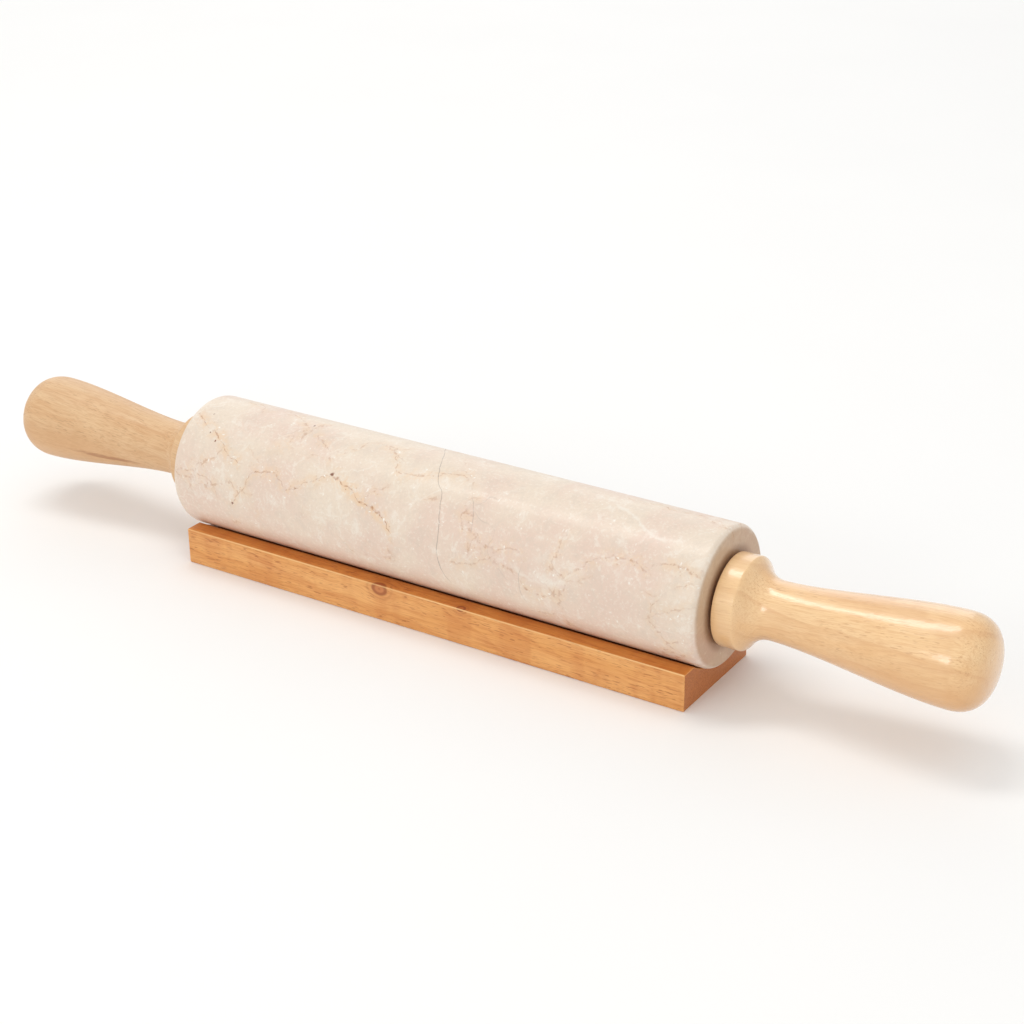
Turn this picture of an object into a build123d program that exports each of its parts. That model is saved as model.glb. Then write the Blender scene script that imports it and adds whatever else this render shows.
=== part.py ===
"""Marble rolling pin with turned wooden handles, resting in its grooved wooden cradle.

Millimetres. +X runs along the pin, +Z is up. The origin is the centre of the cradle's underside.
"""

from build123d import *
import os

# Marble barrel
BARREL_LENGTH = 254.0
BARREL_DIAMETER = 57.2
BARREL_EDGE_RADIUS = 2.8  # polished rounding where the barrel meets its end faces
BARREL_BORE_DIAMETER = 14.0

# Wooden cradle
CRADLE_LENGTH = 245.0
CRADLE_WIDTH = 52.8
CRADLE_HEIGHT = 16.1
CRADLE_WEB = 10.0  # wood left under the deepest line of the trough
TROUGH_RELIEF = 3.0  # how much larger the trough's radius is than the barrel's
TROUGH_LIP_RADIUS = 0.8  # softened edges where the trough meets the flat lands
CRADLE_EDGE_RADIUS = 0.6
REST_GAP = 0.2  # between the barrel and the trough's deepest line

# Turned handles, measured outwards from each handle's inner face
HANDLE_LENGTH = 105.0
COLLAR_DIAMETER = 37.2
COLLAR_WIDTH = 8.0
COLLAR_EDGE_RADIUS = 0.5
COVE_LENGTH = 11.0  # from the collar's outer rim to the narrowest point of the neck
COVE_SHOULDER = 1.8  # length of the short convex shoulder just outside the rim
COVE_SHOULDER_DROP = 0.2
COVE_HOLLOW = 7.8  # length of the long concave run into the neck
NECK_DIAMETER = 23.4
NECK_RUN = 19.4  # how long the neck stays slim before it flares
BULB_DIAMETER = 37.0
BULB_RUN = 21.0  # how long the bulb takes to round over from the flare
END_LENGTH = 14.0  # from the bulb's widest point to the tip
END_FULLNESS = 0.68  # 0.55 is an ellipse, more is blunter

# Steel axle rod
ROD_DIAMETER = 8.0
ROD_END_DIAMETER = 6.0  # threaded ends, drawn at their outer size
ROD_END_LENGTH = 26.0
ROD_CHAMFER = 0.6

# Nylon bearing bushes in the barrel's ends
BUSH_LENGTH = 18.0
BUSH_HEAD_DIAMETER = 22.0
BUSH_HEAD_THICKNESS = 3.0
RUNNING_CLEARANCE = 0.06  # radial, between the turning bush and the rod

# Thrust washers between the barrel and the handles
WASHER_DIAMETER = 16.0
WASHER_THICKNESS = 1.0
END_FLOAT = 0.15  # free space on each side of a washer
WASHER_CLEARANCE = 0.1  # radial, on the rod

# Brass inserts that the rod's ends screw into
INSERT_DIAMETER = 10.0
INSERT_LENGTH = 28.0
INSERT_FLANGE_DIAMETER = 13.0
INSERT_FLANGE_THICKNESS = 1.2
INSERT_GROOVES = 5  # rings that grip the wood
INSERT_GROOVE_WIDTH = 1.5
INSERT_GROOVE_DEPTH = 0.5
THREAD_CLEARANCE = 0.05  # radial, between the rod's end and the insert
DRILL_RELIEF = 1.5  # the handle's hole runs this far past the insert

barrel_radius = BARREL_DIAMETER / 2
barrel_end = BARREL_LENGTH / 2
trough_radius = barrel_radius + TROUGH_RELIEF
axle_height = CRADLE_WEB + REST_GAP + barrel_radius
handle_start = barrel_end + WASHER_THICKNESS + 2 * END_FLOAT
axle_plane = Plane((0, 0, axle_height), x_dir=(0, 1, 0), z_dir=(1, 0, 0))


def across_axle(x):
    """The plane square to the axle, x millimetres along it from the middle of the pin."""
    return axle_plane.offset(x)


def handle_plane(side):
    """Sketch plane of a handle: its x runs outwards along the axle from the handle's inner face."""
    return Plane((side * handle_start, 0, axle_height), x_dir=(side, 0, 0), z_dir=(0, -side, 0))


def save(part, label):
    part.label = label
    export_step(part, f"parts/{label}.step")


os.makedirs("parts", exist_ok=True)

# Cradle: a plank with a shallow round trough along its top
with BuildPart() as cradle:
    with BuildSketch(Plane.YZ.offset(-CRADLE_LENGTH / 2)):
        with Locations((0, CRADLE_HEIGHT / 2)):
            Rectangle(CRADLE_WIDTH, CRADLE_HEIGHT)
        with Locations((0, CRADLE_WEB + trough_radius)):
            Circle(trough_radius, mode=Mode.SUBTRACT)
    extrude(amount=CRADLE_LENGTH)
    long_edges = cradle.edges().filter_by(Axis.X)
    lips = long_edges.filter_by(lambda e: abs(e.center().Y) < CRADLE_WIDTH / 2 - CRADLE_EDGE_RADIUS)
    fillet(lips, radius=TROUGH_LIP_RADIUS)
    corners = cradle.edges().filter_by(Axis.X).filter_by(
        lambda e: abs(e.center().Y) > CRADLE_WIDTH / 2 - CRADLE_EDGE_RADIUS
    )
    uprights = cradle.edges().filter_by(Axis.Z)
    fillet(corners + uprights, radius=CRADLE_EDGE_RADIUS)
save(cradle.part, "cradle")

# Barrel: a polished marble cylinder, bored through, with a seat for a bush at each end
with BuildPart() as marble_barrel:
    with BuildSketch(across_axle(-barrel_end)):
        Circle(barrel_radius)
    extrude(amount=BARREL_LENGTH)
    fillet(marble_barrel.edges(), radius=BARREL_EDGE_RADIUS)
    with BuildSketch(across_axle(-barrel_end)):
        Circle(BARREL_BORE_DIAMETER / 2)
    extrude(amount=BARREL_LENGTH, mode=Mode.SUBTRACT)
    for start in (-barrel_end, barrel_end - BUSH_HEAD_THICKNESS):
        with BuildSketch(across_axle(start)):
            Circle(BUSH_HEAD_DIAMETER / 2)
        extrude(amount=BUSH_HEAD_THICKNESS, mode=Mode.SUBTRACT)
save(marble_barrel.part, "marble_barrel")

# Axle rod: a plain steel rod, stepped down at both ends for the threads
with BuildPart() as axle_rod:
    with BuildSketch(across_axle(-handle_start)):
        Circle(ROD_DIAMETER / 2)
    extrude(amount=2 * handle_start)
    for side in (-1, 1):
        with BuildSketch(across_axle(side * handle_start)):
            Circle(ROD_END_DIAMETER / 2)
        extrude(amount=side * ROD_END_LENGTH)
    tips = axle_rod.edges().group_by(Axis.X)
    chamfer(tips[0] + tips[-1], length=ROD_CHAMFER)
save(axle_rod.part, "axle_rod")

# Handles: turned wood, outline revolved about the axle, drilled for the insert
neck_x = COLLAR_WIDTH + COVE_LENGTH
bulb_x = HANDLE_LENGTH - END_LENGTH
collar_radius = COLLAR_DIAMETER / 2
neck_radius = NECK_DIAMETER / 2
bulb_radius = BULB_DIAMETER / 2

for side, name in ((-1, "left"), (1, "right")):
    with BuildPart() as handle:
        with BuildSketch(handle_plane(side)):
            with BuildLine():
                Polyline((HANDLE_LENGTH, 0), (0, 0), (0, collar_radius), (COLLAR_WIDTH, collar_radius))
                Bezier(
                    (COLLAR_WIDTH, collar_radius),
                    (COLLAR_WIDTH + COVE_SHOULDER, collar_radius - COVE_SHOULDER_DROP),
                    (neck_x - COVE_HOLLOW, neck_radius),
                    (neck_x, neck_radius),
                )
                Bezier(
                    (neck_x, neck_radius),
                    (neck_x + NECK_RUN, neck_radius),
                    (bulb_x - BULB_RUN, bulb_radius),
                    (bulb_x, bulb_radius),
                )
                Bezier(
                    (bulb_x, bulb_radius),
                    (bulb_x + END_FULLNESS * END_LENGTH, bulb_radius),
                    (HANDLE_LENGTH, END_FULLNESS * bulb_radius),
                    (HANDLE_LENGTH, 0),
                )
            make_face()
        revolve(axis=Axis((0, 0, axle_height), (side, 0, 0)))
        rims = handle.edges().filter_by(GeomType.CIRCLE).group_by(Axis.X)
        collar_rims = rims[:2] if side > 0 else rims[-2:]
        fillet(collar_rims[0] + collar_rims[1], radius=COLLAR_EDGE_RADIUS)
        with BuildSketch(across_axle(side * handle_start)):
            Circle(INSERT_DIAMETER / 2)
        extrude(amount=side * (INSERT_LENGTH + DRILL_RELIEF), mode=Mode.SUBTRACT)
        with BuildSketch(across_axle(side * handle_start)):
            Circle(INSERT_FLANGE_DIAMETER / 2)
        extrude(amount=side * INSERT_FLANGE_THICKNESS, mode=Mode.SUBTRACT)
    save(handle.part, f"{name}_handle")

# Threaded inserts: flanged brass tubes with grip rings, flush with the handles' inner faces
groove_space = INSERT_LENGTH - INSERT_FLANGE_THICKNESS
groove_pitch = groove_space / (INSERT_GROOVES + 1)

for side, name in ((-1, "left"), (1, "right")):
    with BuildPart() as insert:
        with BuildSketch(across_axle(side * handle_start)):
            Circle(INSERT_DIAMETER / 2)
        extrude(amount=side * INSERT_LENGTH)
        with BuildSketch(across_axle(side * handle_start)):
            Circle(INSERT_FLANGE_DIAMETER / 2)
        extrude(amount=side * INSERT_FLANGE_THICKNESS)
        for groove in range(1, INSERT_GROOVES + 1):
            middle = INSERT_FLANGE_THICKNESS + groove * groove_pitch
            with BuildSketch(across_axle(side * (handle_start + middle - INSERT_GROOVE_WIDTH / 2))):
                Circle(INSERT_DIAMETER / 2)
                Circle(INSERT_DIAMETER / 2 - INSERT_GROOVE_DEPTH, mode=Mode.SUBTRACT)
            extrude(amount=side * INSERT_GROOVE_WIDTH, mode=Mode.SUBTRACT)
        with BuildSketch(across_axle(side * handle_start)):
            Circle(ROD_END_DIAMETER / 2 + THREAD_CLEARANCE)
        extrude(amount=side * INSERT_LENGTH, mode=Mode.SUBTRACT)
    save(insert.part, f"{name}_threaded_insert")

# Bearing bushes: flanged nylon sleeves pressed into the barrel, flush with its end faces
for side, name in ((-1, "left"), (1, "right")):
    with BuildPart() as bush:
        with BuildSketch(across_axle(side * barrel_end)):
            Circle(BUSH_HEAD_DIAMETER / 2)
        extrude(amount=-side * BUSH_HEAD_THICKNESS)
        with BuildSketch(across_axle(side * barrel_end)):
            Circle(BARREL_BORE_DIAMETER / 2)
        extrude(amount=-side * BUSH_LENGTH)
        with BuildSketch(across_axle(side * barrel_end)):
            Circle(ROD_DIAMETER / 2 + RUNNING_CLEARANCE)
        extrude(amount=-side * BUSH_LENGTH, mode=Mode.SUBTRACT)
    save(bush.part, f"{name}_bearing_bush")

# Thrust washers: thin nylon rings on the rod that keep the handles off the marble
for side, name in ((-1, "left"), (1, "right")):
    with BuildPart() as washer:
        with BuildSketch(across_axle(side * (barrel_end + END_FLOAT))):
            Circle(WASHER_DIAMETER / 2)
            Circle(ROD_DIAMETER / 2 + WASHER_CLEARANCE, mode=Mode.SUBTRACT)
        extrude(amount=side * WASHER_THICKNESS)
    save(washer.part, f"{name}_thrust_washer")
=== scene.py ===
"""Looks of a marble rolling pin resting in its wooden cradle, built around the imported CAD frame.

Metres, in the frame's own axes: +X along the pin, +Z up, origin under the middle of the cradle.
"""

import math

import bpy
from mathutils import Matrix, Quaternion, Vector


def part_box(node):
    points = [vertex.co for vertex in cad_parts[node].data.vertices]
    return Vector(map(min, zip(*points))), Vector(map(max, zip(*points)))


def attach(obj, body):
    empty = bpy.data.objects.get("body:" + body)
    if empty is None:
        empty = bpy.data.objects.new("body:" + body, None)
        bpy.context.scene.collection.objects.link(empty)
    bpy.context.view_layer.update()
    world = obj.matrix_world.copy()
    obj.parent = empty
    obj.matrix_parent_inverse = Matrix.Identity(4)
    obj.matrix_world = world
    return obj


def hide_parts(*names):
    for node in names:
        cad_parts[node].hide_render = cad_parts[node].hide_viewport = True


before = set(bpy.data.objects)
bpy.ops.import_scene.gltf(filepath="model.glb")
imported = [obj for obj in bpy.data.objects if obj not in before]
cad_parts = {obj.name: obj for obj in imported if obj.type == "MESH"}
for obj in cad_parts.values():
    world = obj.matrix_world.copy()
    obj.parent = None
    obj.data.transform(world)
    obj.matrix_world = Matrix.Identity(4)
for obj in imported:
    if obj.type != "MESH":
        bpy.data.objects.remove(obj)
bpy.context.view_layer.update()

MM = 0.001

# Places read from the frame
cradle_low, cradle_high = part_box("cradle")
barrel_low, barrel_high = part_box("marble_barrel")
handle_low, handle_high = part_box("right_handle")
bush_low, bush_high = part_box("right_bearing_bush")
insert_low, insert_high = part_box("right_threaded_insert")
barrel_radius = (barrel_high.z - barrel_low.z) / 2
barrel_end = barrel_high.x
axle_height = (barrel_high.z + barrel_low.z) / 2
handle_start = handle_low.x
handle_length = handle_high.x - handle_low.x

# Shapes that the visible pieces share with the frame
BARREL_EDGE_RADIUS = 2.8 * MM
BORE_RADIUS = 7 * MM
BUSH_SEAT_DEPTH = 3 * MM
TROUGH_RADIUS = barrel_radius + 3 * MM
TROUGH_BOTTOM = 10 * MM
TROUGH_LIP_RADIUS = 0.8 * MM
LIP_REACH = 5 * MM  # how far down the trough's slope the lip's guide point lies
CRADLE_EDGE_RADIUS = 0.6 * MM
CRADLE_END_RIM = 0.5 * MM
COLLAR_WIDTH = 8 * MM
COLLAR_EDGE_RADIUS = 0.5 * MM
COVE_LENGTH = 11 * MM
COVE_SHOULDER = 1.8 * MM
COVE_SHOULDER_DROP = 0.2 * MM
COVE_HOLLOW = 7.8 * MM
NECK_RADIUS = 11.7 * MM
NECK_RUN = 19.4 * MM
BULB_RADIUS = 18.5 * MM
BULB_RUN = 21 * MM
COLLAR_RADIUS = 18.6 * MM
END_LENGTH = 14 * MM
END_FULLNESS = 0.68
INSERT_HOLE_RADIUS = 5 * MM
INSERT_HOLE_DEPTH = 29.5 * MM
FLANGE_SEAT_DEPTH = 1.2 * MM

# Mesh fineness
LATHE_STEPS = 160
SHARP_ANGLE = math.radians(40)
END_RIM_TURNS = (0.0, 0.4, 0.8, 1.2, math.pi / 2)  # angles round the end rim's quarter circle
CRADLE_STEPS = 60
TROUGH_STEPS = 48


def srgb(red, green, blue):
    """A colour given as screen values out of 255, as linear light."""
    def linear(value):
        value /= 255
        return value / 12.92 if value <= 0.04045 else ((value + 0.055) / 1.055) ** 2.4
    return (linear(red), linear(green), linear(blue), 1.0)


# Colours
MARBLE_CREAM = srgb(231, 215, 196)
MARBLE_PINK = srgb(227, 203, 186)
MARBLE_GREY = srgb(214, 200, 184)
MARBLE_MILK = srgb(241, 233, 221)
MARBLE_FLECK = srgb(249, 244, 236)
MARBLE_HALO = srgb(232, 202, 168)
MARBLE_RUST = srgb(180, 128, 92)
MARBLE_CRACK = srgb(146, 132, 122)
MARBLE_SPECK = srgb(122, 66, 42)
# Painted shade and painted reflection of the wooden handles on the barrel's end faces, darkest next to the
# collars
MARBLE_END_SHADE = srgb(228, 213, 198)
MARBLE_COLLAR_SHADE = srgb(196, 168, 144)
RIGHT_HANDLE_LOOK = dict(
    light=srgb(248, 211, 160), dark=srgb(243, 198, 142),
    pore=srgb(212, 154, 100), deep_pore=srgb(178, 116, 68),
    # heart: the colour of the painted shade on the underside
    heart=srgb(221, 167, 108), underside_shade_strength=0.75,
    ring_pitch=13 * MM, ring_strength=0.3, streak_strength=0.28,
    fibre_strength=0.28, pore_strength=0.36, figure_strength=0.1,
)
LEFT_HANDLE_LOOK = dict(
    light=srgb(228, 193, 150), dark=srgb(220, 178, 132),
    pore=srgb(196, 144, 98), deep_pore=srgb(156, 108, 70),
    # heart: the colour of the painted shade on the underside
    heart=srgb(212, 164, 116), underside_shade_strength=0.4,
    ring_pitch=17 * MM, ring_strength=0.12, streak_strength=0.35,
    fibre_strength=0.35, pore_strength=0.38, figure_strength=0.1,
)
CRADLE_LOOK = dict(
    light=srgb(239, 180, 112), dark=srgb(229, 163, 92),
    pore=srgb(200, 120, 58), deep_pore=srgb(160, 80, 34),
    ring_pitch=9 * MM, ring_strength=0.25, streak_strength=0.4,
    fibre_strength=0.35, pore_strength=0.6, figure_strength=0.32,
)
# Painted shade on the cradle's top faces, as under the barrel's overhang
CRADLE_TOP_SHADE = srgb(248, 223, 182)
# Edge wear and a painted highlight along the cradle's eased outer edges
CRADLE_WORN_HIGHLIGHT = srgb(255, 214, 150)
CRADLE_END_LIGHT = srgb(190, 114, 54)
CRADLE_END_DARK = srgb(172, 94, 42)
KNOT_RIM = srgb(150, 72, 34)
KNOT_HEART = srgb(208, 134, 78)
MINERAL_BROWN = srgb(158, 98, 58)

# A brown stain in the left handle: (X of its middle, turn from the top, half length, half width)
LEFT_HANDLE_STREAK = (-180 * MM, 2.05, 22 * MM, 2 * MM)

# Knots at the cradle's front edge: (centre, half sizes)
CRADLE_KNOTS = (
    ((-19.5 * MM, -26.4 * MM, 14.4 * MM), (4.0 * MM, 3.0 * MM, 2.9 * MM)),
    ((20.5 * MM, -25.4 * MM, 16.2 * MM), (2.1 * MM, 1.8 * MM, 1.6 * MM)),
)


# Outlines

def bezier(p0, p1, p2, p3, count):
    """Points on a cubic curve, without its first point."""
    points = []
    for i in range(1, count + 1):
        t = i / count
        weights = ((1 - t) ** 3, 3 * t * (1 - t) ** 2, 3 * t * t * (1 - t), t ** 3)
        points.append(tuple(sum(w * p[k] for w, p in zip(weights, (p0, p1, p2, p3))) for k in (0, 1)))
    return points


def line(start, end, count):
    """Evenly spaced points on a straight run, without its first point."""
    return [tuple(a + (b - a) * i / count for a, b in zip(start, end)) for i in range(1, count + 1)]


def rounded(before, corner, after, radius, count=6):
    """Points of an arc that rounds one corner of an outline."""
    corner = Vector(corner)
    back = (Vector(before) - corner).normalized()
    on = (Vector(after) - corner).normalized()
    half = back.angle(on) / 2
    reach = radius / math.tan(half)
    centre = corner + (back + on).normalized() * (radius / math.sin(half))
    first = corner + back * reach - centre
    last = corner + on * reach - centre
    sweep = first.angle_signed(last)
    return [tuple(centre + Matrix.Rotation(-sweep * i / count, 2) @ first) for i in range(count + 1)]


# Meshes

def new_object(name, vertices, faces):
    mesh = bpy.data.meshes.new(name)
    mesh.from_pydata(vertices, [], faces)
    mesh.validate()
    mesh.shade_smooth()
    mesh.set_sharp_from_angle(angle=SHARP_ANGLE)
    piece = bpy.data.objects.new(name, mesh)
    bpy.context.scene.collection.objects.link(piece)
    return piece


def lathe(name, outline, side=1, start=0.0, closed=False):
    """Turns an outline of (distance along the axle, radius) about the axle line.

    side is the way that distances run from start, +1 or -1 along X. A radius of 0 is a single point.
    """
    vertices = []
    rings = []
    for along, radius in outline:
        count = LATHE_STEPS if radius > 0 else 1
        rings.append([len(vertices) + i for i in range(count)])
        for i in range(count):
            turn = 2 * math.pi * i / count
            y = radius * math.sin(turn)
            z = axle_height + radius * math.cos(turn)
            vertices.append((side * (start + along), y, z))
    pairs = list(zip(rings, rings[1:]))
    if closed:
        pairs.append((rings[-1], rings[0]))
    faces = []
    for here, there in pairs:
        for i in range(LATHE_STEPS):
            j = (i + 1) % LATHE_STEPS
            loop = [here[i % len(here)], here[j % len(here)], there[j % len(there)], there[i % len(there)]]
            loop = list(dict.fromkeys(loop))
            faces.append(loop[::-1] if side > 0 else loop)
    return new_object(name, vertices, faces)


def handle_outline():
    """Half section of a handle: the drilled hole, the flange seat, the collar's rim, then out to the tip."""
    flange_radius = (insert_high.z - insert_low.z) / 2
    rim = (COLLAR_WIDTH, COLLAR_RADIUS)
    neck = (COLLAR_WIDTH + COVE_LENGTH, NECK_RADIUS)
    bulb = (handle_length - END_LENGTH, BULB_RADIUS)
    shoulder = (rim[0] + COVE_SHOULDER, rim[1] - COVE_SHOULDER_DROP)
    cove = bezier(rim, shoulder, (neck[0] - COVE_HOLLOW, NECK_RADIUS), neck, 36)
    flare = bezier(neck, (neck[0] + NECK_RUN, NECK_RADIUS), (bulb[0] - BULB_RUN, BULB_RADIUS), bulb, 64)
    end = bezier(
        bulb,
        (bulb[0] + END_FULLNESS * END_LENGTH, BULB_RADIUS),
        (handle_length, END_FULLNESS * BULB_RADIUS),
        (handle_length, 0),
        32,
    )
    inner_rim = rounded((0, flange_radius), (0, COLLAR_RADIUS), rim, COLLAR_EDGE_RADIUS)
    outer_rim = rounded((0, COLLAR_RADIUS), rim, shoulder, COLLAR_EDGE_RADIUS)
    hole = [(INSERT_HOLE_DEPTH, 0), (INSERT_HOLE_DEPTH, INSERT_HOLE_RADIUS)]
    hole += line(hole[-1], (FLANGE_SEAT_DEPTH, INSERT_HOLE_RADIUS), 8)
    hole += [(FLANGE_SEAT_DEPTH, flange_radius), (0, flange_radius)]
    face = line((0, flange_radius), (0, inner_rim[0][1]), 4)[:-1]
    cove = [p for p in cove if p[0] > outer_rim[-1][0]]
    rim_width = line(inner_rim[-1], outer_rim[0], 6)[:-1]
    return hole + face + inner_rim + rim_width + outer_rim + cove + flare + end


def barrel_outline():
    """Closed half section of the barrel: outside, end faces, bush seats and bore."""
    seat_radius = (bush_high.z - bush_low.z) / 2
    seat_x = barrel_end - BUSH_SEAT_DEPTH
    outside = []
    for side in (-1, 1):
        corner = (side * barrel_end, barrel_radius)
        inwards = (side * barrel_end, seat_radius)
        arc = rounded(inwards, corner, (0, barrel_radius), BARREL_EDGE_RADIUS, 10)
        if side < 0:
            outside += line(inwards, arc[0], 8)[:-1] + arc
            outside += line(arc[-1], (-arc[-1][0], barrel_radius), 96)[:-1]
        else:
            outside += arc[::-1] + line(arc[0], inwards, 8)
    bore = [(seat_x, seat_radius), (seat_x, BORE_RADIUS)]
    bore += line(bore[-1], (-seat_x, BORE_RADIUS), 24)
    bore += [(-seat_x, seat_radius), (-barrel_end, seat_radius)]
    return outside + bore


def cradle_section():
    """Closed cross-section of the cradle in Y and Z: flat sides and foot, two lands and the trough."""
    half = cradle_high.y
    top = cradle_high.z
    centre_z = TROUGH_BOTTOM + TROUGH_RADIUS
    lip_y = math.sqrt(TROUGH_RADIUS ** 2 - (centre_z - top) ** 2)
    lip_angle = math.asin(lip_y / TROUGH_RADIUS)
    slope = (math.cos(lip_angle), -math.sin(lip_angle))
    inside_lip = (-lip_y + slope[0] * LIP_REACH, top + slope[1] * LIP_REACH)
    lip = rounded((-half, top), (-lip_y, top), inside_lip, TROUGH_LIP_RADIUS, 6)
    start_angle = math.atan2(lip[-1][0], centre_z - lip[-1][1])
    trough = []
    for i in range(1, TROUGH_STEPS):
        angle = start_angle * (1 - 2 * i / TROUGH_STEPS)
        trough.append((TROUGH_RADIUS * math.sin(angle), centre_z - TROUGH_RADIUS * math.cos(angle)))
    left = rounded((-half, 0), (-half, top), (0, top), CRADLE_EDGE_RADIUS, 4)
    left_foot = rounded((half, 0), (-half, 0), (-half, top), CRADLE_EDGE_RADIUS, 4)
    side = line(left_foot[-1], left[0], 6)[:-1]
    land = line(left[-1], lip[0], 4)[:-1]
    near = left_foot + side + left + land + lip
    far = [(-y, z) for y, z in reversed(near)]
    return near + trough + far + line(far[-1], near[0], 24)[:-1]


def plank(name, section, low_x, high_x, edge, steps):
    """Extrudes a closed cross-section along X, with its two end rims rounded by edge."""
    rim = [(edge * (1 - math.cos(turn)), edge * (1 - math.sin(turn))) for turn in END_RIM_TURNS]
    straight = high_x - low_x - 2 * edge
    stations = [(low_x + along, inset) for along, inset in rim]
    stations += [(low_x + edge + straight * i / steps, 0.0) for i in range(1, steps)]
    stations += [(high_x - along, inset) for along, inset in reversed(rim)]
    vertices = []
    for x, inset in stations:
        vertices += plank_ring(section, x, inset)
    count = len(section)
    faces = []
    for ring in range(len(stations) - 1):
        here = ring * count
        for i in range(count):
            j = (i + 1) % count
            faces.append((here + i, here + count + i, here + count + j, here + j))
    faces.append(tuple(range(count)))
    faces.append(tuple(range(len(vertices) - 1, len(vertices) - 1 - count, -1)))
    piece = new_object(name, vertices, faces)
    for cap in list(piece.data.polygons)[-2:]:
        cap.use_smooth = False
    return piece


def plank_ring(section, x, inset):
    """One ring of the section at x, moved inwards along its own normals by inset."""
    ring = []
    for i, (y, z) in enumerate(section):
        before = Vector(section[i - 1])
        after = Vector(section[(i + 1) % len(section)])
        along = (after - before).normalized()
        ring.append((x, y + along.y * inset, z - along.x * inset))
    return ring


# Shader building blocks

class Nodes:
    """A material's node tree with short ways to add a node and get its result."""

    def __init__(self, name):
        self.material = bpy.data.materials.new(name)
        self.material.use_nodes = True
        self.tree = self.material.node_tree
        self.tree.nodes.clear()
        self.place = self.add("ShaderNodeTexCoord").outputs["Object"]

    def add(self, kind, inputs=(), **settings):
        node = self.tree.nodes.new(kind)
        for key, value in settings.items():
            setattr(node, key, value)
        for key, value in dict(inputs).items():
            self.feed(node.inputs[key], value)
        return node

    def feed(self, socket, value):
        if isinstance(value, bpy.types.NodeSocket):
            self.tree.links.new(value, socket)
        else:
            socket.default_value = value

    def math(self, operation, a, b=0.0, clamp=False):
        node = self.add("ShaderNodeMath", {0: a, 1: b}, operation=operation, use_clamp=clamp)
        return node.outputs[0]

    def times(self, a, b):
        return self.math("MULTIPLY", a, b)

    def span(self, value, low, high, to_low=0.0, to_high=1.0):
        """A smooth step from to_low to to_high as value goes from low to high."""
        inputs = {"Value": value, "From Min": low, "From Max": high, "To Min": to_low, "To Max": to_high}
        return self.add("ShaderNodeMapRange", inputs, interpolation_type="SMOOTHSTEP").outputs[0]

    def linear(self, value, low, high, to_low=0.0, to_high=1.0):
        """A straight ramp from to_low to to_high as value goes from low to high."""
        inputs = {"Value": value, "From Min": low, "From Max": high, "To Min": to_low, "To Max": to_high}
        return self.add("ShaderNodeMapRange", inputs).outputs[0]

    def stretch(self, scale, vector=None):
        """The place (or a given vector) scaled by a different amount along each axis."""
        inputs = {0: vector or self.place, 1: scale}
        return self.add("ShaderNodeVectorMath", inputs, operation="MULTIPLY").outputs[0]

    def shift(self, vector, offset):
        return self.add("ShaderNodeVectorMath", {0: vector, 1: offset}, operation="ADD").outputs[0]

    def noise(self, vector, scale, detail=2.0, roughness=0.5):
        inputs = {"Vector": vector, "Scale": scale, "Detail": detail, "Roughness": roughness}
        return self.add("ShaderNodeTexNoise", inputs).outputs["Fac"]

    def warp(self, vector, scale, amount, detail=2.0):
        """The vector pushed about by noise, by up to half of amount each way."""
        inputs = {"Vector": vector, "Scale": scale, "Detail": detail}
        cloud = self.add("ShaderNodeTexNoise", inputs).outputs["Color"]
        centred = self.shift(cloud, (-0.5, -0.5, -0.5))
        return self.shift(vector, self.scaled(centred, amount))

    def edges(self, vector, scale):
        """Distance to the nearest wall between Voronoi cells."""
        inputs = {"Vector": vector, "Scale": scale}
        return self.add("ShaderNodeTexVoronoi", inputs, feature="DISTANCE_TO_EDGE").outputs["Distance"]

    def mix(self, amount, a, b, blend="MIX"):
        node = self.add("ShaderNodeMix", data_type="RGBA", blend_type=blend, clamp_factor=True)
        for index, value in ((0, amount), (6, a), (7, b)):
            self.feed(node.inputs[index], value)
        return node.outputs[2]

    def bump(self, height, distance, strength=1.0, normal=None):
        inputs = {"Height": height, "Distance": distance, "Strength": strength}
        if normal:
            inputs["Normal"] = normal
        return self.add("ShaderNodeBump", inputs).outputs["Normal"]

    def length(self, vector):
        return self.add("ShaderNodeVectorMath", {0: vector}, operation="LENGTH").outputs["Value"]

    def scaled(self, vector, amount):
        inputs = {0: vector, "Scale": amount}
        return self.add("ShaderNodeVectorMath", inputs, operation="SCALE").outputs[0]

    def split(self, vector):
        return self.add("ShaderNodeSeparateXYZ", {0: vector}).outputs

    def finish(self, **inputs):
        """The Principled shader with these inputs, as the material's surface."""
        named = {key.replace("_", " "): value for key, value in inputs.items()}
        shader = self.add("ShaderNodeBsdfPrincipled", named)
        output = self.add("ShaderNodeOutputMaterial")
        self.tree.links.new(shader.outputs[0], output.inputs["Surface"])
        return self.material


# Marble

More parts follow.
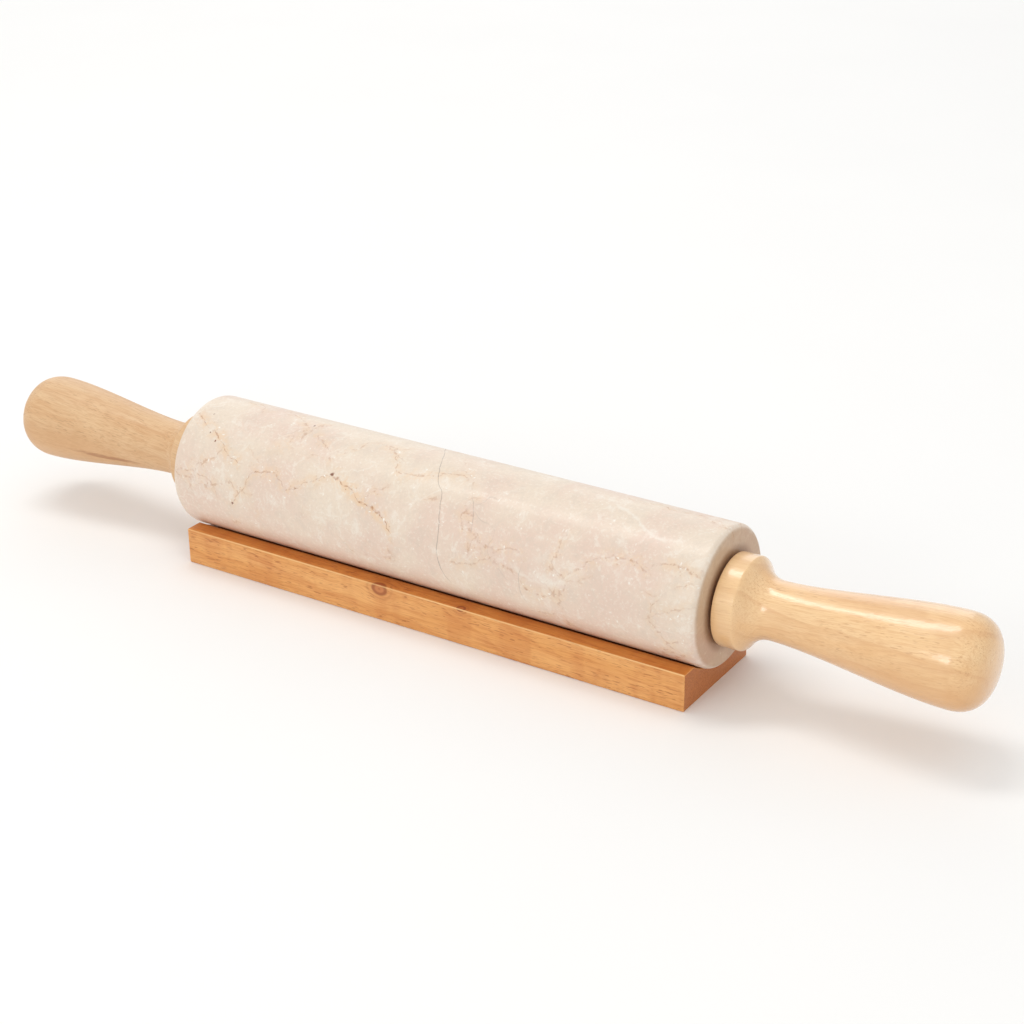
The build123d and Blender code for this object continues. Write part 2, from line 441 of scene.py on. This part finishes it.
# Each rust vein: (strength, points), a point being (millimetres along the barrel, millimetres round it
# from the top towards the front)
RUST_VEINS = (
    (0.8, ((-124, 12), (-115, 17), (-106, 21), (-99, 27), (-90, 29))),
    (0.5, ((-86, -4), (-77, -1), (-69, 5), (-55, 12), (-48, 20))),
    (0.6, ((-95, 49), (-88, 40), (-82, 31), (-74, 30), (-65, 34), (-56, 30), (-44, 23))),
    (1.0, ((-45, 24), (-34, 28), (-26, 32), (-17, 35), (-12, 40), (-10, 45))),
    (0.5, ((-34, 2), (-24, 6), (-19, 12), (-14, 16), (-8, 15), (0, 13), (8, 9), (15, 11))),
    (0.5, ((-125, 40), (-114, 38), (-107, 40), (-101, 47))),
    (0.4, ((15, 47), (28, 44), (34, 41), (40, 36), (46, 34), (51, 37), (53, 42))),
    (0.5, ((50, 45), (60, 50), (69, 40), (77, 33), (85, 28), (97, 26), (103, 28), (110, 24), (125, 26))),
    (0.35, ((106, 47), (117, 41), (127, 37))),
    (0.8, ((-120, -30), (-100, -38), (-85, -34), (-70, -48), (-52, -50))),
    (0.6, ((-60, -70), (-40, -62), (-22, -66), (-5, -52), (12, -48))),
    (0.9, ((10, -30), (28, -42), (45, -40), (60, -55), (80, -58))),
    (0.6, ((70, -22), (90, -30), (105, -26), (125, -38))),
    (0.6, ((85, -75), (100, -68), (124, -72))),
    (0.6, ((-124, -76), (-108, -70), (-95, -78))),
)
# The same for each crack, but it runs mostly round the barrel, so its points are (round, along)
GREY_CRACKS = (
    (1.0, ((-15, -13), (0, -4), (15, 3), (21, 8), (34, 11), (47, 12), (57, 16))),
    (0.7, ((18, 21), (25, 25), (32, 26))),
    (0.5, ((40, 51), (47, 50), (57, 53))),
    (0.7, ((-82, -30), (-64, -24), (-48, -27), (-34, -20))),
)
# Each milky vein: (strength, half width in millimetres, points as for a rust vein)
MILKY_VEINS = (
    (0.8, 1.5, ((77, 2), (87, 6), (105, 15), (112, 13))),
    (0.6, 1.5, ((45, 39), (60, 44), (68, 41), (76, 35))),
    (0.9, 4.0, ((55, 41), (62, 43), (72, 40))),
)
# Each dark speck on a vein: (along the barrel, round it from the top, radius)
MARBLE_SPECKS = (
    (-45 * MM, 24 * MM, 0.8 * MM),
    (-112 * MM, 20 * MM, 0.6 * MM),
    (-108 * MM, 23 * MM, 0.5 * MM),
    (-69 * MM, 2 * MM, 0.6 * MM),
    (-94 * MM, 48 * MM, 0.7 * MM),
    (-117 * MM, 11 * MM, 0.6 * MM),
)
# Where each mark fades out (reach) and where it is at its strongest (core)
HALO_REACH = 5.5 * MM
HALO_CORE = 0.5 * MM
CRACK_REACH = 0.28 * MM
CRACK_CORE = 0.06 * MM
# Reach and core of the painted shade and painted reflection next to each collar
COLLAR_SHADE_REACH = 22.5 * MM
COLLAR_SHADE_CORE = 18.7 * MM


def placed_line(m, along, across, points, soft_end=3 * MM):
    """Distance from a line through points of (along, across) in millimetres, and a mask fading its ends."""
    low_a = points[0][0] * MM
    high_a = points[-1][0] * MM
    low_c = min(p[1] for p in points) * MM - MM
    high_c = max(p[1] for p in points) * MM + MM
    curve = m.add("ShaderNodeFloatCurve", {"Value": m.linear(along, low_a, high_a)})
    dots = curve.mapping.curves[0].points
    dots[0].location = (0.0, (points[0][1] * MM - low_c) / (high_c - low_c))
    dots[1].location = (1.0, (points[-1][1] * MM - low_c) / (high_c - low_c))
    for a, c in points[1:-1]:
        dots.new((a * MM - low_a) / (high_a - low_a), (c * MM - low_c) / (high_c - low_c))
    curve.mapping.update()
    path = m.linear(curve.outputs[0], 0.0, 1.0, low_c, high_c)
    distance = m.math("ABSOLUTE", m.math("SUBTRACT", across, path))
    into = m.span(along, low_a - soft_end / 2, low_a + soft_end)
    out = m.span(along, high_a + soft_end / 2, high_a - soft_end)
    return distance, m.times(into, out)


def strongest(m, values):
    result = values[0]
    for value in values[1:]:
        result = m.math("MAXIMUM", result, value)
    return result


def dashes(m, scale, size, share):
    """Sparse irregular flecks: the given share of Voronoi cells holds one, of the given size."""
    vector = m.stretch(scale, m.warp(m.place, 400, 2.4 * MM))
    cells = m.add("ShaderNodeTexVoronoi", {"Vector": vector, "Scale": 1.0}).outputs
    pick = m.span(m.split(cells["Color"])[0], 1 - share, 1 - share + 0.04)
    return m.times(m.span(cells["Distance"], size, size * 0.35), pick)


def unrolled(m, spot, scale, amount, detail):
    """Distance along the barrel and round it from the top, both ruffled by noise of the given scale."""
    x, y, z = m.split(m.warp(spot, scale, amount, detail))
    turn = m.math("ARCTAN2", m.times(y, -1.0), z)
    return x, m.times(turn, barrel_radius)


def marble_ground(m, spot, mottle):
    """Soft clouds, cream above and pinker and darker below, partly the stone's own colour and partly painted
    shade, with a finer mottle and a fine grain in both.
    """
    height = m.times(m.split(spot)[2], 1 / barrel_radius)
    cloud = m.noise(m.warp(spot, 30, 20 * MM), 30, detail=4)
    grain = m.noise(spot, 800, detail=4, roughness=0.65)
    # Partly painted shade: the ground turns pinker and darker towards the bottom
    level = m.math("SUBTRACT", cloud, m.times(height, 0.09))
    ground = m.mix(m.span(level, 0.34, 0.6), MARBLE_CREAM, MARBLE_PINK)
    ground = m.mix(m.times(m.span(mottle, 0.5, 0.62), 0.3), ground, MARBLE_GREY)
    ground = m.mix(m.times(m.span(mottle, 0.46, 0.36), 0.42), ground, MARBLE_MILK)
    ground = m.mix(m.times(m.span(grain, 0.52, 0.66), 0.28), ground, MARBLE_GREY)
    return m.mix(m.times(m.span(grain, 0.46, 0.34), 0.4), ground, MARBLE_MILK)


def rust_veins(m, spot, x, around, patchy):
    """Strength of the rust lines and of the wide glow beside them: placed veins and a web of cell walls."""
    width = m.linear(m.noise(spot, 300, detail=2), 0.35, 0.65, 0.2 * MM, 1.0 * MM)
    lines = []
    glows = []
    for strength, points in RUST_VEINS:
        distance, mask = placed_line(m, x, around, points)
        mask = m.times(mask, strength)
        lines.append(m.times(m.span(distance, width, 0.0), mask))
        glows.append(m.times(m.span(distance, HALO_REACH, HALO_CORE), mask))
    wall = m.edges(m.warp(m.warp(spot, 45, 26 * MM), 260, 6 * MM), 24)
    wall_zone = m.times(m.span(m.noise(spot, 38, detail=2), 0.46, 0.6), 0.45)
    lines.append(m.times(m.span(wall, 0.016, 0.002), wall_zone))
    glows.append(m.times(m.span(wall, 0.09, 0.01), wall_zone))
    beads = m.noise(m.shift(spot, (0.0, 5.3, 0.0)), 620, detail=3, roughness=0.6)
    broken = m.times(m.span(patchy, 0.36, 0.54, 0.2, 1.0), m.span(beads, 0.4, 0.56, 0.15, 1.0))
    return m.times(strongest(m, lines), broken), strongest(m, glows)


def milky_veins(m, spot, x, around, patchy):
    """Strength of the pale veins: placed ones and a web of cell walls."""
    pales = []
    for strength, half_width, points in MILKY_VEINS:
        distance, mask = placed_line(m, x, around, points)
        pales.append(m.times(m.span(distance, half_width * MM, 0.0), m.times(mask, strength)))
    wall = m.edges(m.warp(m.warp(spot, 60, 24 * MM), 340, 5 * MM), 38)
    zone = m.span(m.noise(m.shift(spot, (3.1, 0.0, 0.0)), 44, detail=2), 0.46, 0.6, 0.0, 0.5)
    pales.append(m.times(m.span(wall, 0.04, 0.0), zone))
    return m.times(strongest(m, pales), m.span(patchy, 0.34, 0.56, 0.25, 1.0))


def hairline_cracks(m, spot, patchy):
    """Strength of the thin grey cracks: placed ones and a few cell walls."""
    x, around = unrolled(m, spot, 110, 2.4 * MM, 3)
    cracks = []
    for strength, points in GREY_CRACKS:
        distance, mask = placed_line(m, around, x, points)
        mask = m.times(mask, strength)
        cracks.append(m.times(m.span(distance, CRACK_REACH, CRACK_CORE), mask))
    wall = m.edges(m.warp(spot, 60, 20 * MM), 14)
    zone = m.span(m.noise(spot, 30), 0.56, 0.63, 0.0, 0.3)
    cracks.append(m.times(m.span(wall, 0.004, 0.001), zone))
    return m.times(strongest(m, cracks), m.span(patchy, 0.36, 0.5, 0.45, 1.0))


def flecks_and_specks(m, ground, x, around, mottle, rust, glow, halo):
    """White flecks lying two ways, rust grains, and dark specks that gather on the veins."""
    lying = dashes(m, (230, 560, 560), 0.22, 0.3)
    standing = dashes(m, (540, 260, 260), 0.22, 0.3)
    near_glow = m.math("ADD", glow, m.span(mottle, 0.54, 0.42, 0.16, 0.65))
    fleck = m.math("MULTIPLY", m.math("MAXIMUM", lying, standing), near_glow, clamp=True)
    ground = m.mix(fleck, ground, MARBLE_FLECK)
    near_halo = m.math("ADD", halo, 0.05, clamp=True)
    grains = m.times(dashes(m, (620, 620, 620), 0.28, 0.4), near_halo)
    ground = m.mix(m.times(grains, 0.75), ground, MARBLE_RUST)
    near_vein = m.math("ADD", m.times(rust, 1.2), 0.03, clamp=True)
    speck = m.times(dashes(m, (230, 230, 230), 0.2, 0.3), near_vein)
    for along, round_top, radius in MARBLE_SPECKS:
        dx = m.math("SUBTRACT", x, along)
        dy = m.math("SUBTRACT", around, round_top)
        reach = m.math("SQRT", m.math("ADD", m.times(dx, dx), m.times(dy, dy)))
        speck = m.math("MAXIMUM", speck, m.span(reach, radius, radius * 0.4))
    return m.mix(m.times(speck, 0.9), ground, MARBLE_SPECK)


def marble_material():
    """Polished cream and pink marble; its sawn ends are duller, and painted shade with a painted reflection
    of the wood darkens and browns them, most of all next to the collars.
    """
    m = Nodes("polished_marble")
    spot = m.shift(m.place, (0.0, 0.0, -axle_height))
    x, around = unrolled(m, spot, 250, 4.5 * MM, 5)
    mottle = m.noise(m.warp(spot, 130, 7 * MM), 130, detail=5, roughness=0.7)
    patchy = m.noise(spot, 260, detail=5, roughness=0.7)

    rust, glow = rust_veins(m, spot, x, around, patchy)
    halo = m.times(glow, m.span(patchy, 0.45, 0.56))
    pale = milky_veins(m, spot, x, around, patchy)
    crack = hairline_cracks(m, spot, patchy)
    ground = marble_ground(m, spot, mottle)
    ground = m.mix(m.times(halo, 0.8), ground, MARBLE_HALO)
    ground = m.mix(m.times(rust, 0.95), ground, MARBLE_RUST)
    ground = m.mix(m.times(pale, 0.75), ground, MARBLE_MILK)
    ground = m.mix(m.times(crack, 0.55), ground, MARBLE_CRACK)
    ground = flecks_and_specks(m, ground, x, around, mottle, rust, glow, halo)

    facing = m.math("ABSOLUTE", m.split(m.add("ShaderNodeTexCoord").outputs["Normal"])[0])
    end = m.span(facing, 0.7, 0.98)
    from_axle = m.length(m.stretch((0, 1, 1), spot))
    # Painted shade and painted reflection: the end faces darken and brown towards the collar
    stain = m.span(from_axle, COLLAR_SHADE_REACH, COLLAR_SHADE_CORE)
    tint = m.mix(stain, MARBLE_END_SHADE, MARBLE_COLLAR_SHADE)
    ground = m.mix(end, ground, m.mix(1.0, ground, tint, blend="MULTIPLY"))

    cloudy = m.linear(m.noise(spot, 120, detail=3), 0.3, 0.7, 0.38, 0.48)
    dip = m.times(m.math("ADD", crack, m.times(rust, 0.4)), -1.0)
    return m.finish(
        Base_Color=ground, Roughness=cloudy, Normal=m.bump(dip, 0.08 * MM, strength=0.5), IOR=1.5,
        Coat_Weight=m.span(end, 0.0, 1.0, 0.12, 0.04), Coat_Roughness=0.12, Coat_IOR=1.5,
    )


# Wood

def grain_space(m, tilt, seed):
    """The place, turned by tilt about Y so that the grain slants, and moved off to its own piece of wood."""
    inputs = {"Vector": m.place, "Axis": (0.0, 1.0, 0.0), "Angle": math.radians(tilt)}
    turned = m.add("ShaderNodeVectorRotate", inputs).outputs[0]
    return m.shift(turned, (seed, seed * 0.37, seed * 0.61))


def knot_marks(m, spot, knots):
    """The distance from each knot's centre in knot radii, and the place, pushed aside round the knots."""
    marks = []
    for centre, radii in knots:
        from_centre = m.shift(m.place, tuple(-c for c in centre))
        away = m.stretch(tuple(1 / r for r in radii), from_centre)
        mark = m.length(away)
        near = m.math("EXPONENT", m.times(m.times(mark, mark), -0.25))
        push = m.times(near, -0.9 * radii[2])
        spot = m.shift(spot, m.scaled(m.stretch((0, 1, 1), away), push))
        marks.append(mark)
    return marks, spot


def growth_ring(m, spot, pitch):
    """Growth lines cut the surface at a slant, so that they sweep along it in long arcs."""
    x, y, z = m.split(spot)
    drift = m.noise(m.stretch((8, 36, 36), spot), 1.0, detail=2)
    level = m.math("ADD", m.times(z, 0.8), m.times(y, 0.6))
    level = m.math("ADD", level, m.times(x, 0.12))
    level = m.math("ADD", level, m.times(drift, 2.4 * pitch))
    phase = m.math("FRACT", m.times(level, 1 / pitch))
    return m.times(m.span(phase, 0.72, 0.95), m.span(phase, 1.0, 0.96))


def pores(m, spot):
    """Short dark needles along the grain, crowded in some places."""
    needles = m.noise(m.stretch((230, 2100, 2100), spot), 1.0, detail=1)
    crowd = m.span(m.noise(m.stretch((16, 190, 190), spot), 1.0, detail=2), 0.36, 0.62, 0.25, 1.0)
    return m.times(m.span(needles, 0.59, 0.69), crowd)


def knot_colour(m, colour, look, mark, streak):
    """A knot with a dark rim, a lighter heart and faint ruffled rings about it."""
    ruffled = m.math("ADD", mark, m.times(streak, 0.5))
    rings = m.math("SINE", m.times(ruffled, 8.0))
    swirl = m.times(m.span(mark, 2.3, 1.0), m.span(rings, -0.2, 0.9, 0.14, 0.38))
    colour = m.mix(swirl, colour, look["deep_pore"])
    colour = m.mix(m.times(m.span(mark, 1.15, 0.85), 0.7), colour, KNOT_RIM)
    heart = m.times(m.span(mark, 0.75, 0.4), m.span(rings, 0.8, -0.4, 0.4, 0.72))
    return m.mix(heart, colour, KNOT_HEART)


def wood_colour(m, look, tilt, seed, knots=()):
    """Straight-grained wood along X: its colour, its normal and the soft bands in it."""
    marks, spot = knot_marks(m, grain_space(m, tilt, seed), knots)
    spot = m.warp(spot, 45, 1.6 * MM)
    bands = m.noise(m.stretch((10, 130, 130), spot), 1.0, detail=3)
    blotch = m.noise(m.stretch((30, 70, 70), spot), 1.0, detail=3)
    figure = m.noise(m.stretch((115, 26, 26), spot), 1.0, detail=2)
    streak = m.noise(m.stretch((42, 780, 780), spot), 1.0, detail=3)
    fibre = m.noise(m.stretch((90, 2600, 2600), spot), 1.0, detail=2)
    pore = pores(m, spot)

    colour = m.mix(m.span(bands, 0.3, 0.7), look["light"], look["dark"])
    colour = m.mix(m.times(m.span(blotch, 0.5, 0.72), 0.45), colour, look["dark"])
    marked = (
        (m.span(figure, 0.46, 0.66), look["figure_strength"]),
        (growth_ring(m, spot, look["ring_pitch"]), look["ring_strength"]),
        (m.span(streak, 0.5, 0.72), look["streak_strength"]),
        (m.span(fibre, 0.4, 0.66), look["fibre_strength"]),
    )
    for pattern, strength in marked:
        colour = m.mix(m.times(pattern, strength), colour, look["pore"])
    colour = m.mix(m.times(pore, look["pore_strength"]), colour, look["deep_pore"])
    for mark in marks:
        colour = knot_colour(m, colour, look, mark, streak)
    relief = m.math("ADD", m.times(pore, -1.0), m.times(fibre, 0.2))
    return colour, m.bump(relief, 0.05 * MM, strength=0.4), bands


def mineral_streak(m, colour, middle_x, middle_turn, half_length, half_width):
    """A thin brown stain along the grain of a handle, tapering at both ends."""
    x, y, z = m.split(m.warp(m.place, 120, 1.5 * MM))
    turn = m.math("ARCTAN2", m.times(y, -1.0), m.math("SUBTRACT", z, axle_height))
    along = m.times(m.math("SUBTRACT", x, middle_x), 1 / half_length)
    across = m.math("SUBTRACT", m.math("SUBTRACT", turn, middle_turn), m.times(along, 0.12))
    across = m.times(across, BULB_RADIUS / half_width)
    reach = m.math("ADD", m.times(along, along), m.times(across, across))
    ragged = m.noise(m.stretch((60, 1500, 1500)), 1.0, detail=2)
    reach = m.math("ADD", reach, m.times(m.math("SUBTRACT", ragged, 0.5), 1.6))
    return m.mix(m.times(m.span(reach, 1.0, 0.1), 0.6), colour, MINERAL_BROWN)


def handle_material(name, look, tilt, seed, gloss, coat, streak=None):
    """Lacquered wood: painted light lifts the collar, and painted shade darkens the underside, most of all
    towards the tip.
    """
    m = Nodes(name)
    colour, normal, bands = wood_colour(m, look, tilt, seed)
    # Painted shade: the underside darkens towards the heart colour, most of all towards the tip
    height = m.math("SUBTRACT", m.split(m.warp(m.place, 60, 12 * MM))[2], axle_height)
    out = m.math("ABSOLUTE", m.split(m.place)[0])
    towards_tip = m.span(out, handle_start + 20 * MM, handle_start + 90 * MM, 0.6, 1.15)
    heart = m.times(m.span(height, 10 * MM, -10 * MM, 0.0, look["underside_shade_strength"]), towards_tip)
    colour = m.mix(heart, colour, look["heart"])
    # Painted light: the collar is lifted towards the light wood colour against the barrel's shadow
    collar = m.span(out, handle_start + 14 * MM, handle_start + 7 * MM, 0.0, 0.4)
    colour = m.mix(collar, colour, look["light"])
    if streak:
        colour = mineral_streak(m, colour, *streak)
    lacquer = m.bump(m.noise(m.place, 330, detail=3), 0.12 * MM, strength=0.7, normal=normal)
    return m.finish(
        Base_Color=colour, Roughness=m.linear(bands, 0.3, 0.7, gloss, gloss + 0.08),
        Normal=normal, IOR=1.48,
        Coat_Weight=coat, Coat_Roughness=0.15, Coat_IOR=1.5, Coat_Normal=lacquer,
    )


def cradle_material():
    """Orange-stained wood: painted shade darkens and deepens the faces that look up, and the eased outer
    edges are lighter, from wear and a painted highlight.
    """
    m = Nodes("stained_cradle_wood")
    colour, normal, bands = wood_colour(m, CRADLE_LOOK, 0.0, 2.9, knots=CRADLE_KNOTS)
    nx, ny, nz = m.split(m.add("ShaderNodeTexCoord").outputs["Normal"])
    side = m.math("ABSOLUTE", ny)
    # Painted shade: the top faces are multiplied darker and deeper orange
    shaded_top = m.span(nz, 0.6, 0.95)
    colour = m.mix(shaded_top, colour, m.mix(1.0, colour, CRADLE_TOP_SHADE, blend="MULTIPLY"))
    # Edge wear and a painted highlight on the eased outer top edges
    worn_highlight = m.times(m.span(side, 0.3, 0.6), m.span(nz, 0.15, 0.45))
    from_middle = m.math("ABSOLUTE", m.split(m.place)[1])
    outside = m.span(from_middle, cradle_high.y - 2 * MM, cradle_high.y - MM)
    worn_highlight = m.times(m.times(worn_highlight, outside), m.span(bands, 0.3, 0.6, 0.3, 0.8))
    colour = m.mix(worn_highlight, colour, CRADLE_WORN_HIGHLIGHT)
    end = m.span(m.math("ABSOLUTE", nx), 0.93, 0.99)
    speckle = m.noise(m.stretch((300, 1500, 1500)), 1.0, detail=3)
    grain = m.mix(m.span(speckle, 0.4, 0.65), CRADLE_END_LIGHT, CRADLE_END_DARK)
    colour = m.mix(m.times(end, 0.9), colour, grain)
    return m.finish(
        Base_Color=colour, Roughness=m.linear(bands, 0.3, 0.7, 0.42, 0.5), Normal=normal, IOR=1.48,
        Specular_IOR_Level=0.4, Coat_Weight=0.15, Coat_Roughness=0.2, Coat_IOR=1.5,
    )


# Metal and nylon

def steel_material():
    m = Nodes("drawn_steel")
    draw = m.noise(m.stretch((40, 3000, 3000)), 1.0, detail=3)
    colour = m.mix(draw, srgb(150, 150, 152), srgb(190, 190, 192))
    return m.finish(Base_Color=colour, Metallic=1.0, Roughness=m.linear(draw, 0.3, 0.7, 0.22, 0.38),
                    Normal=m.bump(draw, 0.01 * MM, strength=0.4))


def brass_material():
    m = Nodes("machined_brass")
    turning = m.noise(m.stretch((6000, 60, 60)), 1.0, detail=2)
    tarnish = m.noise(m.place, 300, detail=4)
    colour = m.mix(tarnish, srgb(196, 158, 84), srgb(222, 188, 112))
    return m.finish(Base_Color=colour, Metallic=1.0, Roughness=m.linear(tarnish, 0.3, 0.7, 0.2, 0.36),
                    Normal=m.bump(turning, 0.01 * MM, strength=0.4))


def gap_shade_nylon_material():
    # Painted shade: the bushes and washers are near-black to darken the gap between each collar and the
    # barrel's end
    m = Nodes("nylon_darkened_for_gap_shade")
    haze = m.noise(m.place, 500, detail=3)
    colour = m.mix(haze, srgb(26, 24, 22), srgb(40, 37, 34))
    return m.finish(Base_Color=colour, Roughness=m.linear(haze, 0.3, 0.7, 0.4, 0.55), IOR=1.53,
                    Normal=m.bump(haze, 0.02 * MM, strength=0.3))


def floor_material():
    m = Nodes("pale_floor")
    haze = m.noise(m.place, 6, detail=2)
    colour = m.mix(haze, srgb(246, 246, 245), srgb(249, 249, 248))
    return m.finish(Base_Color=colour, Roughness=0.85, Specular_IOR_Level=0.2)


def dress(piece, material):
    piece.data.materials.clear()
    piece.data.materials.append(material)


# Pieces

marble = marble_material()
barrel = lathe("barrel_stone", barrel_outline(), closed=True)
dress(barrel, marble)
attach(barrel, "barrel")
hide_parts("marble_barrel")

right_wood = handle_material(
    "lacquered_wood_right", RIGHT_HANDLE_LOOK, tilt=5, seed=0.31, gloss=0.3, coat=1.0,
)
left_wood = handle_material(
    "lacquered_wood_left", LEFT_HANDLE_LOOK, tilt=-5, seed=1.74, gloss=0.45, coat=0.1,
    streak=LEFT_HANDLE_STREAK,
)

for side, name, wood in ((-1, "left", left_wood), (1, "right", right_wood)):
    handle = lathe(f"{name}_turned_handle", handle_outline(), side=side, start=handle_start)
    dress(handle, wood)
    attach(handle, "handle_set")
    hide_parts(f"{name}_handle")

cradle = plank("grooved_cradle", cradle_section(), cradle_low.x, cradle_high.x, CRADLE_END_RIM, CRADLE_STEPS)
dress(cradle, cradle_material())
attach(cradle, "cradle")
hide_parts("cradle")

steel = steel_material()
brass = brass_material()
nylon = gap_shade_nylon_material()
dress(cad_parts["axle_rod"], steel)
for side in ("left", "right"):
    dress(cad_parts[f"{side}_threaded_insert"], brass)
    # Bushes and washers take the near-black nylon that paints shade in the collar gaps
    dress(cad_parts[f"{side}_bearing_bush"], nylon)
    dress(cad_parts[f"{side}_thrust_washer"], nylon)


# Stage: a pale floor, soft boxes and the camera

FLOOR_HALF = 4.0
SKY_STRENGTH = 0.7
LIGHT_WHITE = (1.0, 0.985, 0.965)
OBJECT_MIDDLE = (0.0, 0.0, 0.03)
RIGHT_OF_MIDDLE = (0.1, 0.0, 0.03)


def soft_box(name, place, target, width, depth, power, spin=0.0, in_gloss=True):
    """A rectangular light aimed at target and turned about its aim by spin, in degrees."""
    light = bpy.data.lights.new(name, "AREA")
    light.shape = "RECTANGLE"
    light.size = width
    light.size_y = depth
    light.energy = power
    light.color = LIGHT_WHITE
    box = bpy.data.objects.new(name, light)
    bpy.context.scene.collection.objects.link(box)
    box.location = place
    aim = (Vector(target) - Vector(place)).to_track_quat("-Z", "Y")
    box.rotation_euler = (aim @ Quaternion((0, 0, 1), math.radians(spin))).to_euler()
    box.visible_glossy = in_gloss


floor_mesh = bpy.data.meshes.new("floor")
corners = [(-FLOOR_HALF, -FLOOR_HALF, 0), (FLOOR_HALF, -FLOOR_HALF, 0),
           (FLOOR_HALF, FLOOR_HALF, 0), (-FLOOR_HALF, FLOOR_HALF, 0)]
floor_mesh.from_pydata(corners, [], [(0, 1, 2, 3)])
floor = bpy.data.objects.new("floor", floor_mesh)
bpy.context.scene.collection.objects.link(floor)
dress(floor, floor_material())

world = bpy.data.worlds.new("studio")
bpy.context.scene.world = world
world.use_nodes = True
sky = world.node_tree.nodes["Background"]
sky.inputs["Color"].default_value = (1.0, 1.0, 1.0, 1.0)
sky.inputs["Strength"].default_value = SKY_STRENGTH

# The strip, the back box and the window make the highlights; the others only fill
soft_box("strip_box", (-0.55, 0.05, 1.84), (0.19, -0.01, 0.05), 0.4, 1.1, 8.2, spin=40)
soft_box("overhead_box", (0.2, -0.3, 2.4), OBJECT_MIDDLE, 2.4, 2.4, 5.4, in_gloss=False)
soft_box("back_box", (-1.2, 1.75, 1.0), OBJECT_MIDDLE, 2.4, 1.4, 8.0)
soft_box("front_box", (-0.9, -2.2, 1.3), RIGHT_OF_MIDDLE, 1.2, 0.9, 1.6, in_gloss=False)
soft_box("side_box", (1.7, -0.9, 1.2), RIGHT_OF_MIDDLE, 1.2, 1.2, 1.8, in_gloss=False)
soft_box("window", (-0.16, -1.5, 0.64), (0.22, -0.016, 0.047), 0.46, 0.36, 3.2)

CAMERA_AZIMUTH = math.radians(33.13)
CAMERA_ELEVATION = math.radians(25.04)
CAMERA_ROLL = math.radians(-0.65)
CAMERA_DISTANCE = 0.8247
CAMERA_TARGET = Vector((0.0255, 0.0, 0.0501))
LENS_MM = 72.07
SENSOR_MM = 36.0
SHIFT = (0.0067, -0.0006)

back = Vector((
    math.sin(CAMERA_AZIMUTH) * math.cos(CAMERA_ELEVATION),
    -math.cos(CAMERA_AZIMUTH) * math.cos(CAMERA_ELEVATION),
    math.sin(CAMERA_ELEVATION),
))
level_right = Vector((math.cos(CAMERA_AZIMUTH), math.sin(CAMERA_AZIMUTH), 0.0))
level_up = back.cross(level_right)
right = level_right * math.cos(CAMERA_ROLL) + level_up * math.sin(CAMERA_ROLL)
up = back.cross(right)

lens = bpy.data.cameras.new("camera")
lens.lens = LENS_MM
lens.sensor_width = SENSOR_MM
lens.shift_x, lens.shift_y = SHIFT
lens.clip_start = 0.01
camera = bpy.data.objects.new("camera", lens)
bpy.context.scene.collection.objects.link(camera)
turn = Matrix((right, up, back)).transposed().to_4x4()
camera.matrix_world = Matrix.Translation(CAMERA_TARGET + back * CAMERA_DISTANCE) @ turn
bpy.context.scene.camera = camera
bpy.context.scene.view_settings.view_transform = "Standard"
